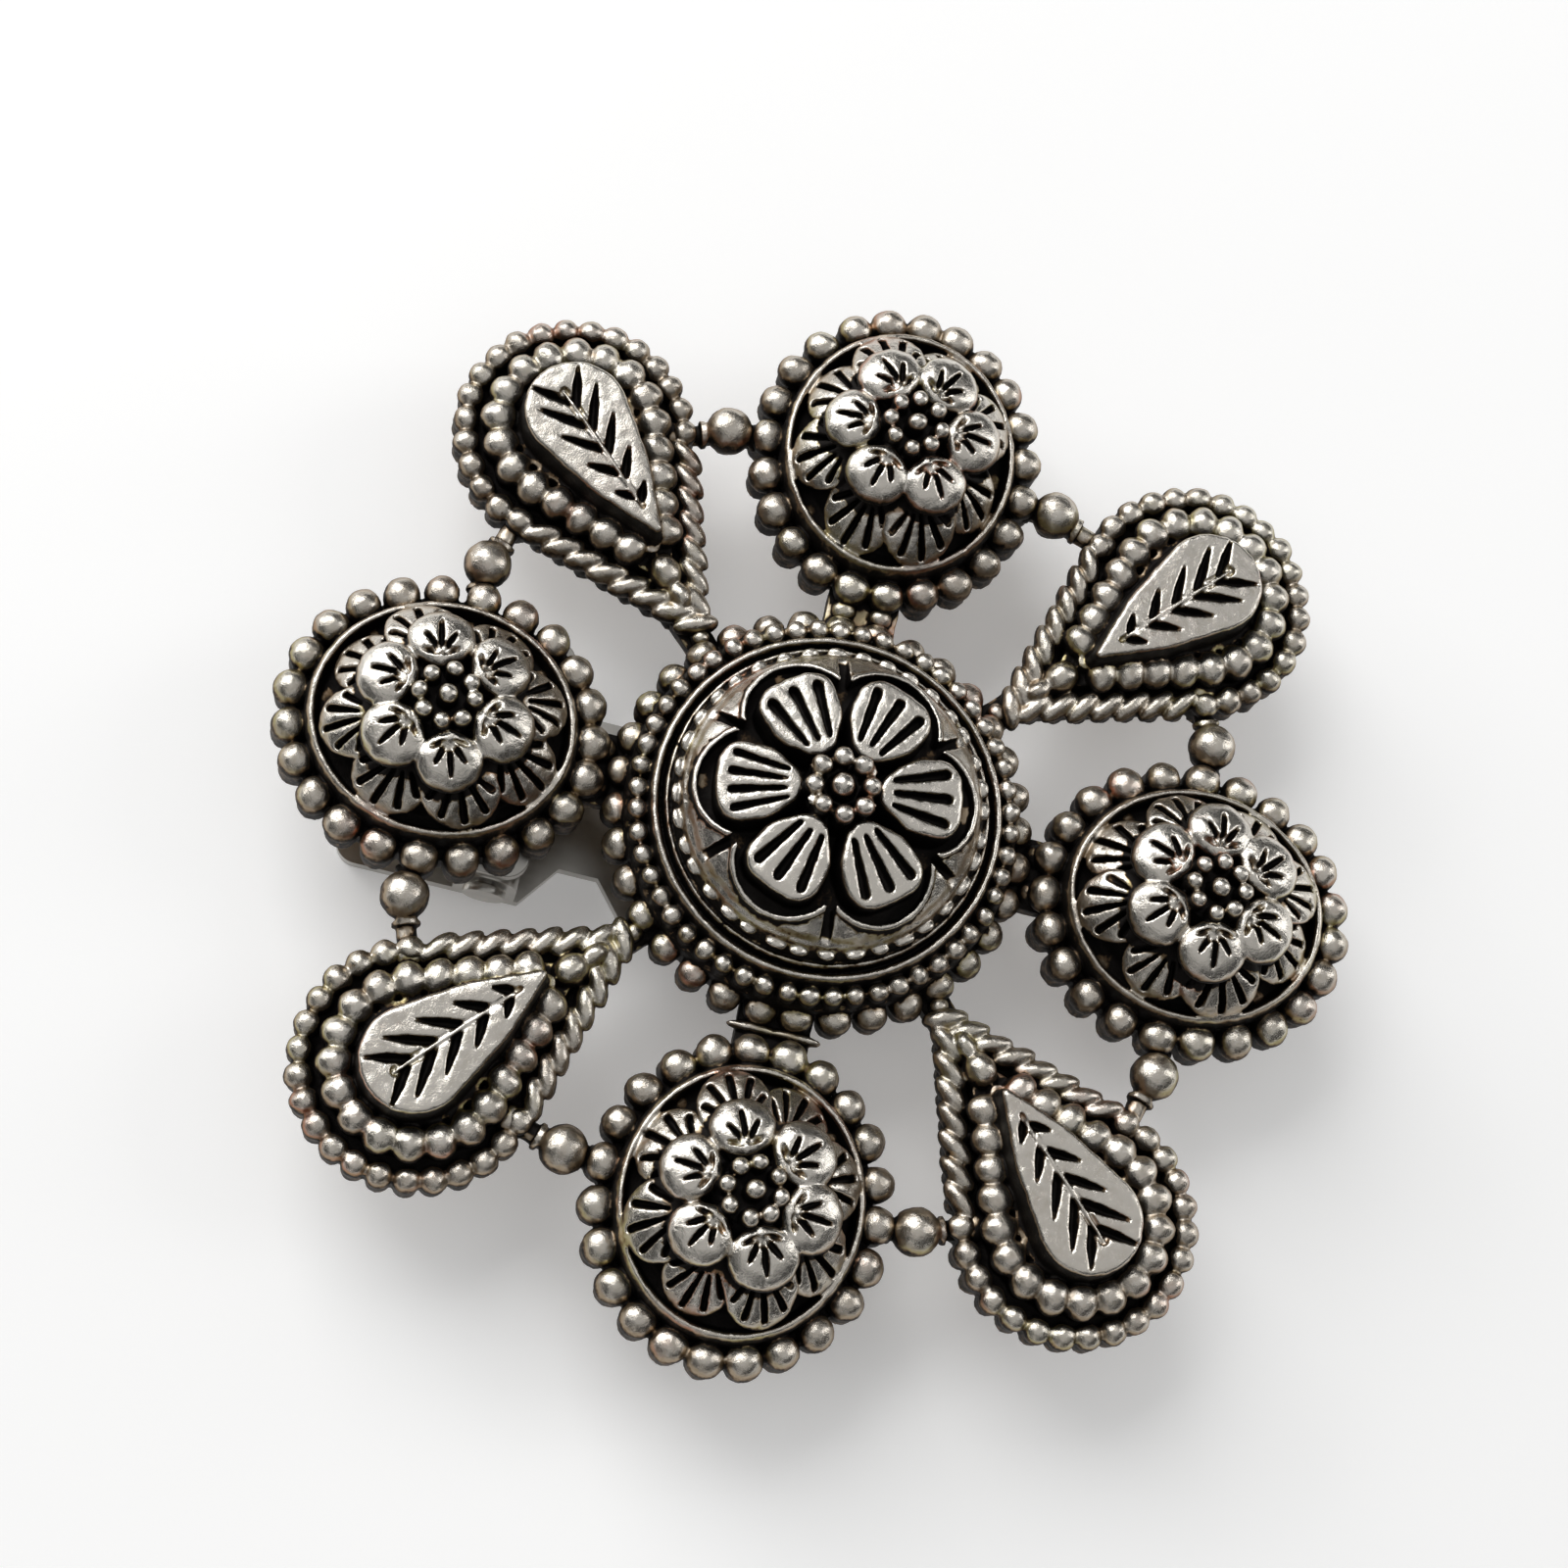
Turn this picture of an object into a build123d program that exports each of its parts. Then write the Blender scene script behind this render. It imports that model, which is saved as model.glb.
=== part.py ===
from build123d import *
import math
import os

# Dress clip: one cast ornament with a hinged, sprung lever behind it.
# +Z is the face of the ornament, +Y points to the top flower, and the lever's
# outer face lies on z = 0 under the centre of the ornament.

# Lever and bracket, from the resting face upwards
lever_thickness = 0.8
jaw_gap = 4.4
bracket_thickness = 0.7
tooth_clearance = 0.15
running_clearance = 0.04
fixed_clearance = 0.02
side_clearance = 0.15

# Places of the cast units, measured from the centre of the ornament
flower_distance_x = 19.0
flower_distance_y = 19.4
leaf_tip_distance = 11.4
leaf_round_distance = 22.8
ball_distance = 20.4
ball_offset_angle = 24.7

# Flower bosses, long axis along the radius
flower_half_length = 7.3
flower_half_width = 6.6
flower_plate_height = 1.1
flower_bead_radius = 0.78
flower_bead_height = 1.6
flower_bead_count = 22
flower_rim_inset = 1.0
flower_rim_width = 0.4
flower_rim_height = 3.0
flower_dome_inset = 1.5
flower_dome_height = 5.9
fan_count = 8
fan_radius = 1.5
fan_ring = 4.15
fan_height = 3.1
petal_count = 6
petal_radius = 1.48
petal_ring = 3.1
petal_height = 6.5
petal_depth = 2.6
petal_tilt = 12.0
petal_edge = 0.5
stamen_count = 8
stamen_radius = 0.38
stamen_ring = 1.3
stamen_height = 6.5

# Hollows in the backs of the three flowers that carry no bracket
hollow_inset = 3.1
hollow_depth = 0.9

# Centre medallion
medal_radius = 9.62
medal_step_height = 2.6
medal_bead_ring = 9.85
medal_bead_radius = 0.76
medal_bead_height = 1.2
medal_bead_count = 34
pearl_ring = 9.12
pearl_radius = 0.44
pearl_height = 3.1
pearl_count = 50
medal_rim_radius = 8.45
medal_rim_width = 0.4
medal_rim_height = 3.9
medal_floor_height = 3.5
drum_foot_radius = 7.8
drum_top_radius = 6.9
drum_height = 6.2
medal_petal_ring = 4.05
medal_petal_outer = 1.72
medal_petal_inner = 0.62
medal_petal_heel = 2.3
medal_petal_height = 7.4
medal_petal_edge = 0.25
medal_petal_turn = 8.0
frame_gap = 0.38
frame_width = 0.55
frame_height = 6.7
groove_width = 0.26
groove_depth = 0.4
groove_spread = 10.0
groove_start = 2.7
groove_end = 5.1
medal_stamen_ring = 1.42
medal_stamen_radius = 0.5
medal_stamen_height = 8.1

# Leaf drops, the tip towards the centre
leaf_edge_radius = 5.5
leaf_plate_height = 0.9
rope_bead_radius = 0.67
rope_bead_height = 0.95
rope_bead_count = 32
row_inset = 1.5
row_tip_inset = 2.3
row_bead_radius = 0.65
row_bead_height = 1.9
row_bead_count = 24
terrace_height = 1.6
terrace_margin = 0.45
plaque_tip_distance = 15.65
plaque_radius = 2.75
plaque_bulge = 0.35
plaque_height = 4.15
plaque_taper = 7.0
vein_width = 0.3
vein_depth = 0.45
vein_angle = 38.0
vein_length = 2.0
vein_pitch = 1.5
vein_count = 5
vein_margin = 1.3
tip_drop_radius = 0.6
tip_drop_length = 1.7
tip_drop_height = 2.5

# Links between the units
ball_radius = 1.16
link_radius = 0.55
link_height = 0.95
bridge_width = 3.6
bridge_height = 1.0
neck_width = 1.5
unit_overlap = 0.8

# Clip behind the left flower
clip_width = 12.3
bracket_inner_edge = -13.15
bracket_length = 6.6
hinge_inset = 1.75
hinge_height = 2.65
pin_radius = 0.6
pin_head_radius = 1.05
pin_head_height = 0.4
ear_thickness = 0.8
bracket_ear_radius = 1.45
lever_ear_radius = 1.55
tail_length = 7.6
neck_half_width = 4.0
neck_length = 3.6
shoulder_length = 1.6
jaw_half_width = 5.9
jaw_reach = 6.5
lever_corner = 1.1
tooth_count = 5
tooth_height = 1.3
grip_count = 3
grip_pitch = 1.3
grip_width = 0.5
grip_depth = 0.2
grip_margin = 1.2
spring_wire = 0.65
spring_radius = 1.12
spring_turns = 4.5
spring_pitch = 0.78
spring_leg = 4.0

back = lever_thickness + jaw_gap
hinge_x = bracket_inner_edge - hinge_inset

# angle: direction from the centre; distance: centre to boss; turn: of the upper petals;
# hollow: whether the back is dished
flower_table = [
    {"angle": 0, "distance": flower_distance_x, "turn": -25, "hollow": True},
    {"angle": 90, "distance": flower_distance_y, "turn": -85, "hollow": True},
    {"angle": 180, "distance": flower_distance_x, "turn": -192, "hollow": False},
    {"angle": 270, "distance": flower_distance_y, "turn": 80, "hollow": True},
]
leaf_angles = [45, 135, 225, 315]


def around(radius, angle, height=0.0):
    """Place at a polar position, turned to face outwards."""
    return Rot(0, 0, angle) * Pos(radius, 0, height)


def post(radius, centre_height, foot):
    """Upright round post with a ball top, from foot up to the ball's centre."""
    outline = Polyline((0, centre_height + radius), (0, foot), (radius, foot), (radius, centre_height))
    crown = RadiusArc((radius, centre_height), (0, centre_height + radius), -radius)
    return revolve(Plane.XZ * make_face(outline + crown), Axis.Z)


def ring_of_posts(path, count, radius, centre_height, foot):
    """Posts evenly spaced along a closed path that lies in the XY plane."""
    one = post(radius, centre_height, foot)
    return [Pos(*(path @ (k / count))) * one for k in range(count)]


def drop_outline(tip, centre, radius, bulge=0.0):
    """Closed drop-shaped wire from its tip round the circle and back."""
    half = math.acos(radius / (centre - tip))
    touch = (centre - radius * math.cos(half), -radius * math.sin(half))
    middle = ((tip + touch[0]) / 2 - bulge * math.cos(half), touch[1] / 2 - bulge * math.sin(half))
    far = (centre + radius, 0)
    if bulge:
        first = ThreePointArc((tip, 0), middle, touch)
        last = ThreePointArc((touch[0], -touch[1]), (middle[0], -middle[1]), (tip, 0))
    else:
        first = Line((tip, 0), touch)
        last = Line((touch[0], -touch[1]), (tip, 0))
    return Wire([first, ThreePointArc(touch, far, (touch[0], -touch[1])), last])


def raised(outline, low, high, taper=0.0):
    """Solid between two heights over a flat closed outline."""
    return extrude(Pos(0, 0, low) * outline, amount=high - low, taper=taper)


def flower_base(hollow):
    """Oval boss without its upper petals: plate, bead ring, rim, dome and fan petals."""
    plate = raised(Ellipse(flower_half_length, flower_half_width), back, back + flower_plate_height)
    oval = Wire([Edge.make_ellipse(flower_half_length, flower_half_width)])
    posts = ring_of_posts(oval, flower_bead_count, flower_bead_radius, back + flower_bead_height, back)
    rim_long = flower_half_length - flower_rim_inset
    rim_wide = flower_half_width - flower_rim_inset
    rim_face = Ellipse(rim_long, rim_wide) - Ellipse(rim_long - flower_rim_width, rim_wide - flower_rim_width)
    rim = raised(rim_face, back + flower_plate_height / 2, back + flower_rim_height)
    dome_long = flower_half_length - flower_dome_inset
    dome_wide = flower_half_width - flower_dome_inset
    quarter = make_face(
        Polyline((0, dome_wide), (0, 0), (dome_wide, 0)) + RadiusArc((dome_wide, 0), (0, dome_wide), -dome_wide)
    )
    ball = revolve(Plane.XZ * quarter, Axis.Z)
    foot = flower_plate_height / 2
    dome = scale(ball, (dome_long / dome_wide, 1, (flower_dome_height - foot) / dome_wide))
    dome = Pos(0, 0, back + foot) * dome
    stretch = flower_half_length / flower_half_width
    fans = []
    for k in range(fan_count):
        angle = math.radians(360 * (k + 0.5) / fan_count)
        place = Pos(fan_ring * stretch * math.cos(angle), fan_ring * math.sin(angle), back + fan_height)
        fans.append(place * Sphere(fan_radius))
    boss = plate + posts + [rim] + [dome] + fans
    if hollow:
        scoop = Ellipse(flower_half_length - hollow_inset, flower_half_width - hollow_inset)
        boss -= raised(scoop, back - hollow_depth, back + hollow_depth)
    return boss


def flower_head(turn):
    """Six cupped upper petals round a cluster of stamens."""
    disc = Cylinder(petal_radius, petal_depth, align=(Align.CENTER, Align.CENTER, Align.MAX))
    disc = fillet(disc.edges().group_by(Axis.Z)[-1], petal_edge)
    petals = []
    for k in range(petal_count):
        place = around(petal_ring, turn + 360 * k / petal_count, back + petal_height)
        petals.append(place * Rot(0, petal_tilt, 0) * disc)
    foot = back + flower_dome_height - petal_edge
    one = post(stamen_radius, back + stamen_height, foot)
    stamens = [one]
    stamens += [around(stamen_ring, 360 * k / stamen_count) * one for k in range(stamen_count)]
    return petals + stamens


def medallion():
    """Round centre boss with two bead rows, a rim, a drum and a six-petal flower on top."""
    section = Polyline(
        (0, back),
        (medal_radius, back),
        (medal_radius, back + medal_step_height),
        (medal_rim_radius, back + medal_step_height),
        (medal_rim_radius, back + medal_rim_height),
        (medal_rim_radius - medal_rim_width, back + medal_rim_height),
        (medal_rim_radius - medal_rim_width, back + medal_floor_height),
        (drum_foot_radius, back + medal_floor_height),
        (drum_top_radius, back + drum_height),
        (0, back + drum_height),
        close=True,
    )
    body = revolve(Plane.XZ * make_face(section), Axis.Z)
    outer = Wire([Edge.make_circle(medal_bead_ring)])
    beads = ring_of_posts(outer, medal_bead_count, medal_bead_radius, back + medal_bead_height, back)
    inner = Wire([Edge.make_circle(pearl_ring)])
    pearl_foot = back + medal_step_height - unit_overlap
    pearls = ring_of_posts(inner, pearl_count, pearl_radius, back + pearl_height, pearl_foot)
    foot = back + drum_height - unit_overlap
    petal_outline = make_hull(
        (Pos(medal_petal_ring, 0) * Circle(medal_petal_outer)).edges()
        + (Pos(medal_petal_heel, 0) * Circle(medal_petal_inner)).edges()
    )
    petal = raised(petal_outline, foot, back + medal_petal_height)
    petal = fillet(petal.edges().group_by(Axis.Z)[-1], medal_petal_edge)
    groove_length = groove_end - groove_start
    slot = Pos(groove_start + groove_length / 2, 0, back + medal_petal_height)
    slot = slot * Box(groove_length, groove_width, 2 * groove_depth)
    petal -= [Rot(0, 0, groove_spread * side) * slot for side in (-1, 0, 1)]
    turns = [medal_petal_turn + 360 * k / petal_count for k in range(petal_count)]
    petals = [Rot(0, 0, turn) * petal for turn in turns]
    inside = medal_petal_outer + frame_gap
    lobes = [around(medal_petal_ring, turn) * Circle(inside + frame_width) for turn in turns]
    holes = [around(medal_petal_ring, turn) * Circle(inside) for turn in turns]
    frame_face = Sketch() + lobes - holes - Circle(medal_petal_ring)
    frame = raised(frame_face, foot, back + frame_height)
    one = post(medal_stamen_radius, back + medal_stamen_height, foot)
    stamens = [one]
    stamens += [around(medal_stamen_ring, 360 * k / stamen_count) * one for k in range(stamen_count)]
    return body + beads + pearls + petals + [frame] + stamens


def leaf_drop():
    """Drop-shaped plate with a rope edge, a bead row and an engraved leaf plaque, along +X."""
    edge = drop_outline(leaf_tip_distance, leaf_round_distance, leaf_edge_radius)
    row = drop_outline(leaf_tip_distance + row_tip_inset, leaf_round_distance, leaf_edge_radius - row_inset)
    plate = raised(make_face(edge), back, back + leaf_plate_height)
    ropes = ring_of_posts(edge, rope_bead_count, rope_bead_radius, back + rope_bead_height, back)
    row_radius = leaf_edge_radius - row_inset
    step = make_hull(
        (Pos(leaf_round_distance, 0) * Circle(row_radius + terrace_margin)).edges()
        + (Pos(leaf_tip_distance + row_tip_inset, 0) * Circle(terrace_margin)).edges()
    )
    terrace = raised(step, back + leaf_plate_height / 2, back + terrace_height)
    row_foot = back + leaf_plate_height
    beads = ring_of_posts(row, row_bead_count, row_bead_radius, back + row_bead_height, row_foot)
    outline = drop_outline(plaque_tip_distance, leaf_round_distance, plaque_radius, plaque_bulge)
    plaque = raised(make_face(outline), back + leaf_plate_height, back + plaque_height, plaque_taper)
    top = back + plaque_height
    rib_length = leaf_round_distance + plaque_radius - plaque_tip_distance - 2 * vein_margin
    rib_middle = plaque_tip_distance + vein_margin + rib_length / 2
    cuts = [Pos(rib_middle, 0, top) * Box(rib_length, vein_width, 2 * vein_depth)]
    for k in range(vein_count):
        start = plaque_tip_distance + 2 * vein_margin + k * vein_pitch
        reach = vein_length * (k + 1.5) / vein_count
        reach = min(reach, vein_length)
        for side in (-1, 1):
            vein = Pos(reach / 2, 0, 0) * Box(reach, vein_width, 2 * vein_depth)
            cuts.append(Pos(start, 0, top) * Rot(0, 0, side * vein_angle) * vein)
    plaque -= cuts
    droplet = make_face(
        Polyline((0, tip_drop_radius), (0, 0), (tip_drop_radius, 0))
        + RadiusArc((tip_drop_radius, 0), (0, tip_drop_radius), -tip_drop_radius)
    )
    droplet = revolve(Plane.XZ * droplet, Axis.Z)
    longer = tip_drop_length / 2 / tip_drop_radius
    droplet = scale(droplet, (longer, 1, (tip_drop_height - terrace_height + unit_overlap) / tip_drop_radius))
    droplet_x = plaque_tip_distance - tip_drop_length / 2
    droplet = Pos(droplet_x, 0, back + terrace_height - unit_overlap) * droplet
    return plate + [terrace] + ropes + beads + [plaque, droplet]


def link(start, end):
    """Round bar between two places at the height of the links."""
    start = Vector(*start, back + link_height)
    end = Vector(*end, back + link_height)
    plane = Plane(origin=start, z_dir=end - start)
    length = (end - start).length
    return plane * Cylinder(link_radius, length, align=(Align.CENTER, Align.CENTER, Align.MIN))


def polar(distance, angle):
    """Flat position at a distance and angle from the centre."""
    return (distance * math.cos(math.radians(angle)), distance * math.sin(math.radians(angle)))


def towards(start, goal, stop_short):
    """Place on the way from start to goal that stops short of it."""
    gap = math.hypot(goal[0] - start[0], goal[1] - start[1])
    share = (gap - stop_short) / gap
    return (start[0] + share * (goal[0] - start[0]), start[1] + share * (goal[1] - start[1]))


def joinery():
    """Balls, bars, bridges and necks that hold the nine units together."""
    pieces = []
    for row in flower_table:
        flower = polar(row["distance"], row["angle"])
        inner_edge = row["distance"] - flower_half_length
        start = medal_radius - unit_overlap
        length = inner_edge + unit_overlap - start
        bridge = Box(length, bridge_width, bridge_height, align=(Align.MIN, Align.CENTER, Align.MIN))
        pieces.append(around(start, row["angle"], back) * bridge)
        for side in (-1, 1):
            ball = polar(ball_distance, row["angle"] + side * ball_offset_angle)
            leaf = polar(leaf_round_distance, row["angle"] + side * 45)
            pieces.append(Pos(*ball, back + flower_bead_height) * Sphere(ball_radius))
            pieces.append(link(ball, towards(ball, flower, flower_half_width - unit_overlap)))
            pieces.append(link(ball, towards(ball, leaf, leaf_edge_radius - unit_overlap)))
    for angle in leaf_angles:
        start = medal_radius - unit_overlap
        length = leaf_tip_distance + unit_overlap - start
        neck = Box(length, neck_width, leaf_plate_height, align=(Align.MIN, Align.CENTER, Align.MIN))
        pieces.append(around(start, angle, back) * neck)
    return pieces


def ear(radius, low, high, y_inner, thickness):
    """Pair of upright ears with rounded ends round the hinge axis."""
    pair = []
    for side in (-1, 1):
        y_middle = side * (y_inner + thickness / 2)
        block = Pos(hinge_x, y_middle, (low + high) / 2) * Box(2 * radius, thickness, high - low)
        disc = Pos(hinge_x, y_middle, hinge_height) * Rot(90, 0, 0) * Cylinder(radius, thickness)
        pair.append(block + disc)
    return pair


def cross_bore(radius):
    """Cylinder along the hinge axis, right through the clip."""
    return Pos(hinge_x, 0, hinge_height) * Rot(90, 0, 0) * Cylinder(radius, 2 * clip_width)


lever_ear_inner = clip_width / 2 - ear_thickness
bracket_ear_inner = lever_ear_inner - side_clearance - ear_thickness


def bracket():
    """Stamped plate with two ears, soldered to the back of the left flower."""
    middle = bracket_inner_edge - bracket_length / 2
    plate = Pos(middle, 0, back - bracket_thickness / 2) * Box(bracket_length, clip_width, bracket_thickness)
    plate = fillet(plate.edges().filter_by(Axis.Z), lever_corner)
    ears = ear(bracket_ear_radius, hinge_height, back, bracket_ear_inner, ear_thickness)
    return (plate + ears) - cross_bore(pin_radius + fixed_clearance)


def ornament():
    """The whole casting with its soldered bracket, as one solid."""
    solid = medallion()
    dished = flower_base(True)
    plain = flower_base(False)
    flowers = []
    for row in flower_table:
        base = dished if row["hollow"] else plain
        flowers.append(around(row["distance"], row["angle"]) * (base + flower_head(row["turn"])))
    leaf = leaf_drop()
    leaves = [Rot(0, 0, angle) * leaf for angle in leaf_angles]
    return solid + flowers + leaves + joinery() + [bracket()]


def clip_lever():
    """Lever with a wide finger tail, a neck, a jaw plate and a toothed lip."""
    half = clip_width / 2
    tail_end = hinge_x - tail_length
    wide_end = bracket_inner_edge
    neck_end = wide_end + neck_length
    jaw_start = neck_end + shoulder_length
    corners = [
        (tail_end, -half),
        (wide_end, -half),
        (wide_end + shoulder_length, -neck_half_width),
        (neck_end, -neck_half_width),
        (jaw_start, -jaw_half_width),
        (jaw_reach, -jaw_half_width),
        (jaw_reach, jaw_half_width),
        (jaw_start, jaw_half_width),
        (neck_end, neck_half_width),
        (wide_end + shoulder_length, neck_half_width),
        (wide_end, half),
        (tail_end, half),
    ]
    flat = make_face(Polyline(*corners, close=True))
    ends = flat.vertices().group_by(Axis.X)
    flat = fillet(ends[0] + ends[-1], lever_corner)
    plate = raised(flat, 0, lever_thickness)
    ears = ear(lever_ear_radius, 0, hinge_height, lever_ear_inner, ear_thickness)
    tip_height = back - tooth_clearance
    lip_top = tip_height - tooth_height
    lip_width = 2 * (jaw_half_width - lever_corner)
    lip = Box(lever_thickness, lip_width, lip_top, align=(Align.MAX, Align.CENTER, Align.MIN))
    lip = Pos(jaw_reach, 0, 0) * lip
    pitch = lip_width / tooth_count
    outline = [(0, lip_top - unit_overlap), (pitch, lip_top - unit_overlap), (pitch, lip_top)]
    outline += [(pitch / 2, tip_height), (0, lip_top)]
    tooth = extrude(Plane.YZ * make_face(Polyline(*outline, close=True)), amount=lever_thickness)
    first = -lip_width / 2
    teeth = [
        Pos(jaw_reach - lever_thickness, first + k * pitch, 0) * tooth for k in range(tooth_count)
    ]
    grooves = []
    for k in range(grip_count):
        x = tail_end + grip_margin + grip_width / 2 + k * grip_pitch
        grooves.append(Pos(x, 0, 0) * Box(grip_width, 2 * (half - lever_corner), 2 * grip_depth))
    lever = plate + ears + [lip] + teeth
    return lever - grooves - cross_bore(pin_radius + running_clearance)


def hinge_pin():
    """Straight pin with two riveted heads."""
    head_start = clip_width / 2 + side_clearance
    shank = Cylinder(pin_radius, 2 * (head_start + pin_head_height))
    heads = []
    for side in (-1, 1):
        middle = side * (head_start + pin_head_height / 2)
        heads.append(Pos(0, 0, middle) * Cylinder(pin_head_radius, pin_head_height))
    return Pos(hinge_x, 0, hinge_height) * Rot(90, 0, 0) * (shank + heads)


def leg_angle(reach):
    """Splay that brings the end of a spring leg to a distance from the hinge axis."""
    span = math.hypot(spring_radius, spring_leg)
    return math.atan2(spring_leg, spring_radius) - math.acos(reach / span)


def spring():
    """Coil round the pin with one leg on the lever's tail and one under the bracket."""
    seat = spring_wire / 2 + fixed_clearance
    low_angle = math.degrees(leg_angle(hinge_height - lever_thickness - seat))
    high_angle = math.degrees(leg_angle(back - bracket_thickness - hinge_height - seat))
    turns = spring_turns - (low_angle + high_angle) / 360
    length = turns * spring_pitch
    coil = Helix(spring_pitch, length, spring_radius)
    start_leg = Line(coil @ 0 - (coil % 0) * spring_leg, coil @ 0)
    end_leg = Line(coil @ 1, coil @ 1 + (coil % 1) * spring_leg)
    path = Wire([start_leg, coil, end_leg])
    section = Plane(origin=path @ 0, z_dir=path % 0) * Circle(spring_wire / 2)
    wire = sweep(section, path=path, is_frenet=True)
    lying = Plane(origin=(hinge_x, length / 2, hinge_height), x_dir=(0, 0, -1), z_dir=(0, -1, 0))
    return lying * Rot(0, 0, low_angle) * wire


os.makedirs("parts", exist_ok=True)
nodes = {
    "ornament": ornament(),
    "clip_lever": clip_lever(),
    "hinge_pin": hinge_pin(),
    "spring": spring(),
}
for name, shape in nodes.items():
    export_step(shape, f"parts/{name}.step")
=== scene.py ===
import math
import random

import bmesh
import bpy
import numpy as np
from mathutils import Euler, Matrix, Vector


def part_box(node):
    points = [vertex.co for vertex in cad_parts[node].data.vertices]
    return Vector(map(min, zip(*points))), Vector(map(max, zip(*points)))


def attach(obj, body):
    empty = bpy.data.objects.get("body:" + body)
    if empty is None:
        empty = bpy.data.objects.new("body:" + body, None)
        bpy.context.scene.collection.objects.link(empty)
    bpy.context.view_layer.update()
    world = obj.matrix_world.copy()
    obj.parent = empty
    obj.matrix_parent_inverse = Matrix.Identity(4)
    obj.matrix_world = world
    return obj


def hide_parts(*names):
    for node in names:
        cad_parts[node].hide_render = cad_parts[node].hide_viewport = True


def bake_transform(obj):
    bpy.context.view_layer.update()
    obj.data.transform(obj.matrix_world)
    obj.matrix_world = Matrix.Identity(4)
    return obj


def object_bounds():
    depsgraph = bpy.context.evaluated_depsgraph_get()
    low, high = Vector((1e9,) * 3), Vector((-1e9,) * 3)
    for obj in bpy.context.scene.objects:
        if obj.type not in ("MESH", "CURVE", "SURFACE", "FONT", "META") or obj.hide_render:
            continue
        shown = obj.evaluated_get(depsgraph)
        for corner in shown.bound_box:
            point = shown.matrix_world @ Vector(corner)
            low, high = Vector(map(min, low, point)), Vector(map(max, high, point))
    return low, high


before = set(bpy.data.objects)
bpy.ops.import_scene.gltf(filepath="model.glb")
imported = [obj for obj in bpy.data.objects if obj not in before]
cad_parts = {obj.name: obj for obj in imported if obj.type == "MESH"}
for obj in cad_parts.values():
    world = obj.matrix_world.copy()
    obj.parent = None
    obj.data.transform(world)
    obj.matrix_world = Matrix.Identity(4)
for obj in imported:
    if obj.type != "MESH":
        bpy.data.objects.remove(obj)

cadLow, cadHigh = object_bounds()
millimetre = 0.001
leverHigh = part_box("clip_lever")[1]
toothGap = 0.15                                      # the lever's teeth stop this far below the back
backHeight = leverHigh.z / millimetre + toothGap     # flat back of the casting, above the table
flowerReach = (cadHigh.x / millimetre, cadHigh.y / millimetre)


# Small tools for building in millimetres

def place(x=0.0, y=0.0, z=0.0, turn=(0, 0, 0), size=(1, 1, 1)):
    turned = Euler([math.radians(a) for a in turn], "XYZ")
    return Matrix.LocRotScale(Vector((x, y, z)), turned, Vector(size))


def sway(rng, most):
    return rng.uniform(-most, most)


def spun(angle):
    return Matrix.Rotation(math.radians(angle), 4, "Z")


def bake(bm):
    mesh = bpy.data.meshes.new("part")
    bm.to_mesh(mesh)
    bm.free()
    return mesh


def outwards(bm):
    bmesh.ops.recalc_face_normals(bm, faces=bm.faces)
    return bake(bm)


def addMesh(bm, mesh, where):
    copy = mesh.copy()
    copy.transform(where)
    bm.from_mesh(copy)
    bpy.data.meshes.remove(copy)


ballMeshes = {}


def addBall(bm, where, radius=1.0, detail=3):
    if detail not in ballMeshes:
        ball = bmesh.new()
        bmesh.ops.create_icosphere(ball, subdivisions=detail, radius=1)
        ballMeshes[detail] = bake(ball)
    addMesh(bm, ballMeshes[detail], where @ Matrix.Scale(radius, 4))


def addPeg(bm, where, low, high, height, sides=32):
    # stands on its own origin and narrows from low to high
    peg = bmesh.new()
    lifted = Matrix.Translation((0, 0, height / 2))
    bmesh.ops.create_cone(
        peg, cap_ends=True, segments=sides, radius1=low, radius2=high, depth=height, matrix=lifted,
    )
    addMesh(bm, bake(peg), where)


def addBlock(bm, where, length, width, height):
    # stands on its own origin, centred on it
    block = bmesh.new()
    bmesh.ops.create_cube(block, size=1, matrix=Matrix.Translation((0, 0, 0.5)))
    addMesh(bm, bake(block), where @ Matrix.Diagonal((length, width, height, 1)))


def addHull(bm, rounds, where=Matrix.Identity(4), sides=64):
    # one convex body round several level circles: each has x, height, radius and perhaps y
    body = bmesh.new()
    for x, height, radius, *y in rounds:
        middle = place(x, sum(y), height)
        bmesh.ops.create_circle(body, cap_ends=False, segments=sides, radius=radius, matrix=middle)
    bmesh.ops.delete(body, geom=body.edges[:], context="EDGES_FACES")
    bmesh.ops.convex_hull(body, input=body.verts)
    bmesh.ops.delete(body, geom=[v for v in body.verts if not v.link_faces], context="VERTS")
    bmesh.ops.delete(body, geom=[e for e in body.edges if not e.link_faces], context="EDGES_FACES")
    addMesh(bm, outwards(body), where)


sameSpot = 0.0001


def addRing(bm, outline, where=Matrix.Identity(4), steps=160):
    # a closed outline of (radius, height) points, spun round Z
    ring = bmesh.new()
    loop = [ring.verts.new((r, 0, z)) for r, z in outline]
    for a, b in zip(loop, loop[1:] + loop[:1]):
        ring.edges.new((a, b))
    bmesh.ops.spin(
        ring, geom=ring.verts[:] + ring.edges[:], axis=(0, 0, 1), cent=(0, 0, 0),
        angle=2 * math.pi, steps=steps, use_merge=True,
    )
    bmesh.ops.remove_doubles(ring, verts=ring.verts, dist=sameSpot)
    addMesh(bm, outwards(ring), where)


beadShape = dict(uneven=0.06, shift=0.04, stemLow=0.93, stemHigh=0.9, stemSides=20)


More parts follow.
